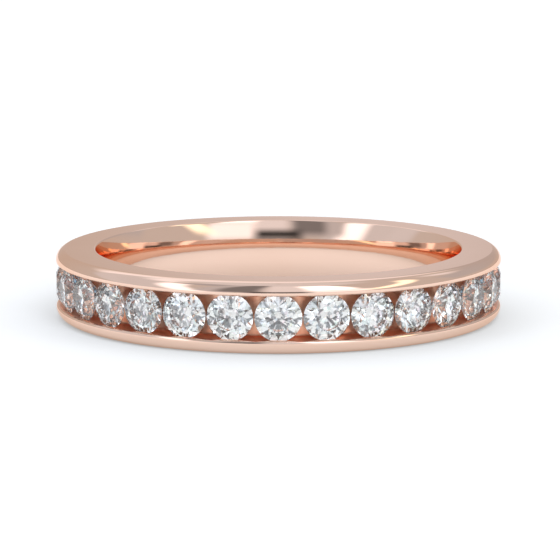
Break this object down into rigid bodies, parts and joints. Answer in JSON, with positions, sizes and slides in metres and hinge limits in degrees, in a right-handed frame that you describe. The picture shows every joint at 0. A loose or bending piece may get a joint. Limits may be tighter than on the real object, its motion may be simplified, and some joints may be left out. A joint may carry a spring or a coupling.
{
  "type": "wedding band",
  "caption": "Channel-set eternity wedding band: a polished rose-gold ring with a row of round brilliant diamonds held between two rails, and a comfort-fit bore.",
  "frame": {"origin": "centre of the ring: on the finger axis, in the middle of the band's width", "axes": "+Z along the finger axis; -Y points out through the middle of the first stone, diamond_01; the stones are numbered anticlockwise seen from +Z"},
  "size_m": [0.0204, 0.0204, 0.0032],
  "materials": {
    "rose_gold": "polished",
    "diamond": "polished"
  },
  "bodies": {
    "root": {"band": "rose_gold", "diamond_01": "diamond", "diamond_02": "diamond", "diamond_03": "diamond", "diamond_04": "diamond", "diamond_05": "diamond", "diamond_06": "diamond", "diamond_07": "diamond", "diamond_08": "diamond", "diamond_09": "diamond", "diamond_10": "diamond", "diamond_11": "diamond", "diamond_12": "diamond", "diamond_13": "diamond", "diamond_14": "diamond", "diamond_15": "diamond", "diamond_16": "diamond", "diamond_17": "diamond", "diamond_18": "diamond", "diamond_19": "diamond", "diamond_20": "diamond", "diamond_21": "diamond", "diamond_22": "diamond", "diamond_23": "diamond", "diamond_24": "diamond", "diamond_25": "diamond", "diamond_26": "diamond", "diamond_27": "diamond", "diamond_28": "diamond", "diamond_29": "diamond", "diamond_30": "diamond"}
  },
  "joints": []
}
